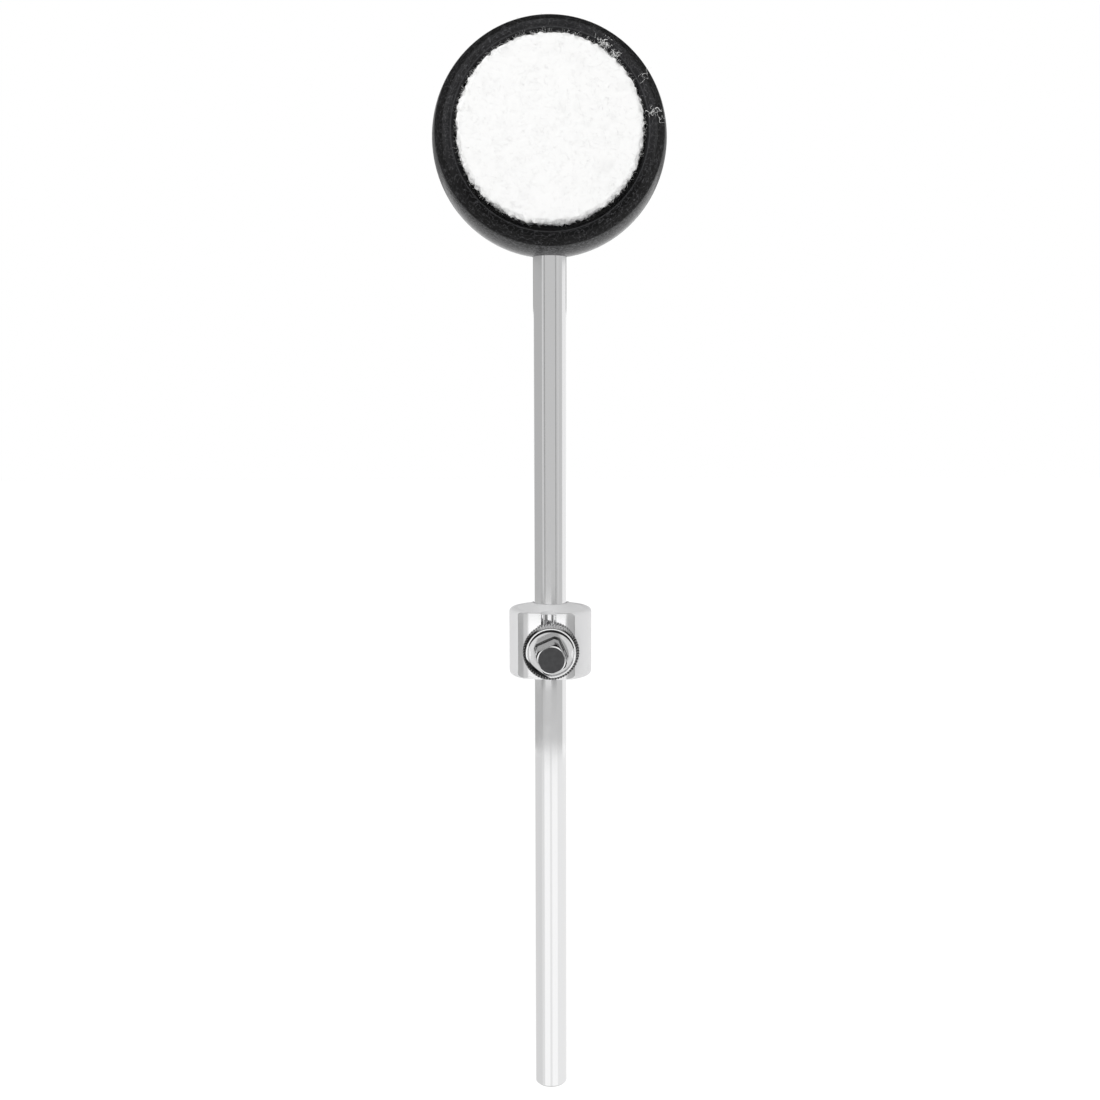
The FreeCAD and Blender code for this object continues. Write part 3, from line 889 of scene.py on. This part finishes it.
class BEATER_OT_dress_lock(bpy.types.Operator):
    """Finishes the lock collar, and makes the serrated washer and the threaded key screw"""

    bl_idname = "beater.dress_lock"
    bl_label = "Dress lock"

    # Radii of the screw's shank, of the key's turned corners and of the hollow at its foot, in metres
    shank_radius = 0.003
    key_corner = 0.0037
    base_round = 0.0006

    def execute(self, context):
        sizes = context.scene.beater_sizes
        colours = context.scene.beater_colours
        repaint("lock_collar", collar_finish(colours))
        self.make_washer(sizes, washer_finish(colours))
        self.make_screw(sizes, screw_finish(colours), key_end_finish(colours))
        return {"FINISHED"}

    def make_washer(self, sizes, plating):
        """Washer: a closed section carried round the screw, whose rim and front are cut by slanted teeth,
        the triangle wave of the turn plus a slant that grows along the section."""
        bore = 0.00308
        bevel = 0.0003
        plain_radius = washer_radius - 0.0012
        section = np.array([
            (bore, washer_back), (plain_radius, washer_back), (washer_radius - bevel, washer_back),
            (washer_radius, washer_back + bevel), (washer_radius, washer_front - bevel),
            (washer_radius - bevel, washer_front), (washer_radius - 2 * bevel, washer_front),
            (washer_radius - 3 * bevel, washer_front), (plain_radius, washer_front), (bore, washer_front)])
        rim_cut = np.array([0.0, 0.0, 0.8, 1.0, 1.0, 0.5, 0.0, 0.0, 0.0, 0.0])[:, None]
        front_cut = np.array([0.0, 0.0, 0.0, 0.0, 0.0, 0.6, 0.7, 0.5, 0.0, 0.0])[:, None]
        slant = np.array([0.0, 0.0, 0.1, 0.3, 0.9, 1.2, 1.5, 1.8, 2.0, 2.0])[:, None]
        turn = turns(sizes.serration_count * 8)
        tooth = np.abs((sizes.serration_count * turn / full_turn + slant) % 1.0 * 2 - 1)
        radius = section[:, :1] - sizes.serration_depth * rim_cut * tooth
        reach = section[:, 1:] - sizes.serration_depth * front_cut * tooth
        rings = facing_front(radius, reach, turn, lock_height)
        quads = ring_faces(len(section), len(turn), loop=True)
        washer = add_piece(
            "serrated_washer", rings, quads, np.empty((0, 3), int), [plating], "washer")
        washer.data.set_sharp_from_angle(angle=math.radians(35.0))
        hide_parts("lock_washer")

    def make_screw(self, sizes, plating, blackened):
        """Key screw in one stack of rings: a shank whose radius follows a helix of phase distance / pitch
        minus turn, a dished flange, and a key whose radius is the least of a square's and a chamfered
        turning's, with a hollow quarter round at its foot."""
        turn = turns(240)
        end_margin = 0.00002
        rings = np.concatenate([
            self.shank_rings(sizes, turn), self.flange_rings(sizes, turn), self.key_rings(turn)])
        screw = turned_piece("key_screw", rings, [plating, blackened], "screw")
        mesh = screw.data
        centres = np.empty(len(mesh.polygons) * 3)
        mesh.polygons.foreach_get("center", centres)
        on_end = centres.reshape(-1, 3)[:, 1] < -(key_end - end_margin)
        mesh.polygons.foreach_set("material_index", on_end.astype(np.int32))
        mesh.set_sharp_from_angle(angle=math.radians(32.0))
        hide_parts("lock_screw")

    def shank_rings(self, sizes, turn):
        """Shank from its flat tip to its neck. Its thread cuts in by the clipped triangle wave of the
        helix's phase, and runs out into the neck. A chamfer at the tip limits its radius."""
        tip_flat = 0.0022
        tip_chamfer = 0.0005
        neck_start = flange_back - 0.0006
        runout_end = flange_back - 0.0011
        runout_length = 0.0006
        reach = np.linspace(screw_tip, neck_start, 150)[:, None]
        phase = (reach / sizes.thread_pitch - turn / full_turn) % 1.0
        valley = np.clip(np.abs(phase * 2 - 1) * 1.3 - 0.1, 0.0, 1.0)
        runout = np.clip((runout_end - reach) / runout_length, 0.0, 1.0)
        tip_limit = self.shank_radius - np.clip(tip_chamfer - (reach - screw_tip), 0.0, None)
        threaded = self.shank_radius - sizes.thread_depth * np.maximum(valley, 1 - runout)
        tip = facing_front(np.array([[0.0], [tip_flat]]), screw_tip, turn, lock_height)
        return np.concatenate([tip, facing_front(np.minimum(threaded, tip_limit), reach, turn, lock_height)])

    def flange_rings(self, sizes, turn):
        """Flange turned from a softened profile: the neck, the back, the wall, the rim and the dish."""
        neck_radius = self.shank_radius - sizes.thread_depth
        neck_length = 0.0005
        flange_front = flange_back + flange_thickness
        rim_width = 0.00038
        dish_wall = 0.0006
        profile = softened(
            [(neck_radius, flange_back - neck_length), (neck_radius, flange_back),
             (flange_radius, flange_back), (flange_radius, flange_front),
             (flange_radius - rim_width, flange_front),
             (flange_radius - dish_wall, dish_floor), (self.key_corner + 1.2 * self.base_round, dish_floor)],
            [0.00008, 0.00012, 0.00012, 0.00008, 0.00008])
        return facing_front(profile[:, :1], profile[:, 1:], turn, lock_height)

    def key_rings(self, turn):
        """Key from its hollow foot to its end. The square's radius is half its width over the 60th root of
        |cos|^60 + |sin|^60 of the turn, which is a square with barely rounded corners."""
        half_width = 0.003
        key_turn = math.radians(24.0)
        squareness = 60
        chamfer = 0.00045
        end_radius = 0.0031
        profile = softened(
            [(self.key_corner, dish_floor + self.base_round), (self.key_corner, key_end - chamfer),
             (end_radius, key_end), (0.0, key_end)],
            [0.00008, 0.0001])
        lean = turn - key_turn
        square = half_width / (
            np.abs(np.cos(lean)) ** squareness + np.abs(np.sin(lean)) ** squareness) ** (1 / squareness)
        bend = np.linspace(0.0, math.pi / 2, 7)[:-1, None]
        base_radius = np.minimum(self.key_corner, square) + self.base_round * (1 - np.sin(bend))
        base_reach = dish_floor + self.base_round * (1 - np.cos(bend))
        return np.concatenate([
            facing_front(base_radius, base_reach, turn, lock_height),
            facing_front(np.minimum(profile[:, :1], square), profile[:, 1:], turn, lock_height)])


# Glowing cards that the plating mirrors: name, grey tone of their glow, bearings in degrees, distances and
# heights in metres
mirrored_cards = (
    ("front_wall", 0.56, (-56.0, 93.0), (0.58, 0.58), (-0.07, 0.8)),
    ("left_wall", 0.47, (-144.0, -56.0), (0.58, 0.58), (-0.07, 0.255)),
    ("left_high_wall", 0.25, (-144.0, -56.0), (0.58, 0.58), (0.255, 0.8)),
    ("right_high_wall", 0.25, (93.0, 144.0), (0.58, 0.58), (0.255, 0.8)),
    ("right_glow", 0.86, (93.0, 144.0), (0.58, 0.58), (-0.07, 0.255)),
    ("back_white", 1.0, (144.0, 216.0), (0.58, 0.58), (-0.07, 0.22)),
    ("back_wall", 0.4, (144.0, 216.0), (0.58, 0.58), (0.22, 0.45)),
    ("back_high_wall", 0.12, (144.0, 216.0), (0.58, 0.58), (0.45, 0.8)),
    ("ceiling", 0.1, (-180.0, 180.0), (0.01, 0.58), (0.8, 0.8)),
    ("left_flag", 0.32, (-41.0, -35.0), (0.45, 0.45), (0.054, 0.5)),
    ("right_flag", 0.32, (37.0, 42.5), (0.45, 0.45), (0.054, 0.5)),
    ("left_strip", 0.72, (-55.0, -50.0), (0.45, 0.45), (0.054, 0.5)),
    ("right_strip", 0.66, (55.5, 60.5), (0.45, 0.45), (0.054, 0.5)),
    ("low_far_left_flag", 0.1, (-66.0, -47.0), (0.44, 0.44), (0.0112, 0.05)),
    ("low_left_flag", 0.4, (-47.0, -40.0), (0.44, 0.44), (0.0112, 0.05)),
    ("low_left_fade", 0.62, (-40.0, -35.0), (0.44, 0.44), (0.0112, 0.05)),
    ("low_front_card", 1.12, (-35.0, 5.0), (0.44, 0.44), (0.0112, 0.05)),
    ("low_front_flag", 0.4, (5.0, 14.0), (0.44, 0.44), (0.0112, 0.05)),
    ("low_right_flag", 0.1, (14.0, 45.0), (0.44, 0.44), (0.0112, 0.05)),
    ("low_left_card", 0.98, (-170.0, -75.0), (0.5, 0.5), (0.002, 0.036)),
    ("floor_white", 1.0, (-46.0, 50.0), (0.05, 0.57), (-0.069, -0.069)),
    ("floor_left_shade", 0.7, (-144.0, -66.0), (0.05, 0.57), (-0.069, -0.069)),
    ("floor_left_fade", 0.78, (-66.0, -46.0), (0.05, 0.57), (-0.069, -0.069)),
    ("floor_right_shade", 0.86, (50.0, 144.0), (0.05, 0.57), (-0.069, -0.069)),
    ("floor_middle_shade", 0.84, (-6.0, 9.0), (0.05, 0.57), (-0.0685, -0.0685)),
    ("floor_back_white", 1.0, (144.0, 216.0), (0.05, 0.57), (-0.069, -0.069)),
)


class BEATER_OT_set_stage(bpy.types.Operator):
    """Sets the pale floor, the soft studio light and the camera"""

    bl_idname = "beater.set_stage"
    bl_label = "Set stage"

    def execute(self, context):
        self.place_camera(context)
        self.lay_floor(context.scene.beater_colours.floor)
        self.hang_lamp(
            "key_softbox", place=(-0.5, -0.5, 0.85), aim=(0.0, 0.0, 0.2), size=(0.5, 0.5), power=3.2)
        self.hang_lamp(
            "side_softbox", place=(0.55, 0.2, 0.16), aim=(0.0, 0.0, 0.14), size=(0.3, 0.8), power=0.9)
        for name, tone, bearings, reach, heights in mirrored_cards:
            self.stand_card(name, tone, bearings, reach, heights)
        self.fill_world(context)
        context.scene.view_settings.view_transform = "Standard"
        return {"FINISHED"}

    def place_camera(self, context):
        """Camera aimed at the rod's axis, pitched down, at the distance that fits the photograph."""
        pitch = math.radians(7.14)
        side = math.radians(0.7)
        roll = math.radians(-0.11)
        distance = 0.3426
        aim = Vector((-0.00005, 0.0, 0.1372))
        photo_width = 1100
        focal_length = 1400
        back = Vector((
            -math.sin(side) * math.cos(pitch), -math.cos(side) * math.cos(pitch), math.sin(pitch)))
        lens = bpy.data.cameras.new("studio_camera")
        lens.sensor_width = 36.0
        lens.lens = lens.sensor_width * focal_length / photo_width
        lens.clip_start = 0.01
        camera = bpy.data.objects.new("studio_camera", lens)
        context.scene.collection.objects.link(camera)
        turned = (-back).to_track_quat("-Z", "Y").to_matrix().to_4x4() @ Matrix.Rotation(roll, 4, "Z")
        camera.matrix_world = Matrix.Translation(aim + distance * back) @ turned
        context.scene.camera = camera

    def lay_floor(self, colour):
        """Pale sheet under the hanging beater, which fades to white away from it and keeps its shadow. Its
        glow shows only to the camera and in reflections, and doesn't light the beater."""
        level = -0.07
        half_width = 1.5
        front = -0.58
        back = 3.0
        corners = [
            (-half_width, front, level), (half_width, front, level),
            (half_width, back, level), (-half_width, back, level)]
        mesh = bpy.data.meshes.new("studio_floor")
        mesh.from_pydata(corners, [], [(0, 1, 2, 3)])
        floor = bpy.data.objects.new("studio_floor", mesh)
        bpy.context.scene.collection.objects.link(floor)
        material = bpy.data.materials.new("pale_floor")
        material.use_nodes = True
        nodes = material.node_tree.nodes
        links = material.node_tree.links
        nodes.clear()
        paper = nodes.new("ShaderNodeBsdfDiffuse")
        paper.inputs["Color"].default_value = (*colour, 1.0)
        place = nodes.new("ShaderNodeTexCoord")
        away = nodes.new("ShaderNodeVectorMath")
        away.operation = "LENGTH"
        links.new(place.outputs["Object"], away.inputs[0])
        fade = nodes.new("ShaderNodeMapRange")
        for socket, value in zip(("From Min", "From Max", "To Min", "To Max"), (0.15, 0.9, 0.16, 0.32)):
            fade.inputs[socket].default_value = value
        links.new(away.outputs["Value"], fade.inputs["Value"])
        glow = nodes.new("ShaderNodeEmission")
        links.new(fade.outputs["Result"], glow.inputs["Strength"])
        lit = nodes.new("ShaderNodeAddShader")
        links.new(paper.outputs[0], lit.inputs[0])
        links.new(glow.outputs[0], lit.inputs[1])
        output = nodes.new("ShaderNodeOutputMaterial")
        links.new(self.pick(nodes, links, paper, lit), output.inputs["Surface"])
        mesh.materials.append(material)

    def pick(self, nodes, links, unseen, seen):
        """The seen shader for camera, glossy and transmission rays, and the unseen one for all others."""
        path = nodes.new("ShaderNodeLightPath")
        directly = path.outputs["Is Camera Ray"]
        for kind in ("Is Glossy Ray", "Is Transmission Ray"):
            larger = nodes.new("ShaderNodeMath")
            larger.operation = "MAXIMUM"
            links.new(directly, larger.inputs[0])
            links.new(path.outputs[kind], larger.inputs[1])
            directly = larger.outputs[0]
        mixed = nodes.new("ShaderNodeMixShader")
        links.new(directly, mixed.inputs["Fac"])
        links.new(unseen.outputs[0], mixed.inputs[1])
        links.new(seen.outputs[0], mixed.inputs[2])
        return mixed.outputs[0]

    def hang_lamp(self, name, place, aim, size, power):
        """Rectangular softbox at a place, turned to its aim."""
        light = bpy.data.lights.new(name, "AREA")
        light.shape = "RECTANGLE"
        light.size, light.size_y = size
        light.energy = power
        lamp = bpy.data.objects.new(name, light)
        lamp.visible_camera = False
        bpy.context.scene.collection.objects.link(lamp)
        way = Vector(aim) - Vector(place)
        lamp.matrix_world = Matrix.Translation(place) @ way.to_track_quat("-Z", "Y").to_matrix().to_4x4()

    def stand_card(self, name, tone, bearings, reach, heights):
        """Grey card bent round the rod's axis, which glows with its tone and which only glossy surfaces
        mirror. Its points are (reach sin bearing, -reach cos bearing, height), where reach and height go from
        its first to its last value along one side and the bearing along the other."""
        turn = np.radians(np.linspace(*bearings, 33))
        distance = np.array(reach)[:, None]
        height = np.array(heights)[:, None] + 0 * turn
        points = np.stack([distance * np.sin(turn), -distance * np.cos(turn), height], axis=-1)
        low = np.arange(len(turn) - 1)
        quads = np.stack([low, low + 1, low + 1 + len(turn), low + len(turn)], axis=1)
        mesh = bpy.data.meshes.new(name)
        mesh.from_pydata(points.reshape(-1, 3).tolist(), [], quads.tolist())
        card = bpy.data.objects.new(name, mesh)
        bpy.context.scene.collection.objects.link(card)
        material = bpy.data.materials.new(name)
        material.use_nodes = True
        shader = material.node_tree.nodes["Principled BSDF"]
        shader.inputs["Base Color"].default_value = (0.0, 0.0, 0.0, 1.0)
        shader.inputs["Specular IOR Level"].default_value = 0.0
        shader.inputs["Emission Color"].default_value = (tone, tone, tone, 1.0)
        shader.inputs["Emission Strength"].default_value = 1.0
        mesh.materials.append(material)
        card.visible_camera = False
        card.visible_diffuse = False
        card.visible_shadow = False
        card.visible_transmission = False

    def fill_world(self, context):
        """White for the camera and for what the surfaces mirror, and soft even light for the rest."""
        world = bpy.data.worlds.new("studio_world")
        context.scene.world = world
        world.use_nodes = True
        nodes = world.node_tree.nodes
        links = world.node_tree.links
        nodes.clear()
        even = nodes.new("ShaderNodeBackground")
        even.inputs["Strength"].default_value = 0.9
        even.inputs["Color"].default_value = (1.0, 1.0, 1.0, 1.0)
        white = nodes.new("ShaderNodeBackground")
        white.inputs["Strength"].default_value = 1.0
        white.inputs["Color"].default_value = (1.0, 1.0, 1.0, 1.0)
        output = nodes.new("ShaderNodeOutputWorld")
        links.new(self.pick(nodes, links, even, white), output.inputs["Surface"])


class BEATER_PT_sidebar(bpy.types.Panel):
    """Lists the beater's sizes, colours and pieces in the sidebar"""

    bl_idname = "BEATER_PT_sidebar"
    bl_label = "Bass Drum Beater"
    bl_space_type = "VIEW_3D"
    bl_region_type = "UI"
    bl_category = "Beater"

    def draw(self, context):
        layout = self.layout
        for group in (context.scene.beater_sizes, context.scene.beater_colours):
            column = layout.column(align=True)
            for name in group.__annotations__:
                column.prop(group, name)
        for step in steps:
            layout.operator(step.bl_idname)


steps = (
    BEATER_OT_dress_rod,
    BEATER_OT_dress_head,
    BEATER_OT_make_felt,
    BEATER_OT_make_fuzz,
    BEATER_OT_dress_lock,
    BEATER_OT_set_stage,
)
classes = (BeaterSizes, BeaterColours, *steps, BEATER_PT_sidebar)


def register():
    """Registers the classes and hangs the sizes and colours on the scene."""
    for entry in classes:
        bpy.utils.register_class(entry)
    bpy.types.Scene.beater_sizes = PointerProperty(type=BeaterSizes)
    bpy.types.Scene.beater_colours = PointerProperty(type=BeaterColours)


def unregister():
    """Takes the sizes, colours and classes away again."""
    del bpy.types.Scene.beater_colours
    del bpy.types.Scene.beater_sizes
    for entry in reversed(classes):
        bpy.utils.unregister_class(entry)


def main():
    """Makes the pieces and the stage in order."""
    register()
    bpy.ops.beater.dress_rod()
    bpy.ops.beater.dress_head()
    bpy.ops.beater.make_felt()
    bpy.ops.beater.make_fuzz()
    bpy.ops.beater.dress_lock()
    bpy.ops.beater.set_stage()


if __name__ == "__main__":
    main()
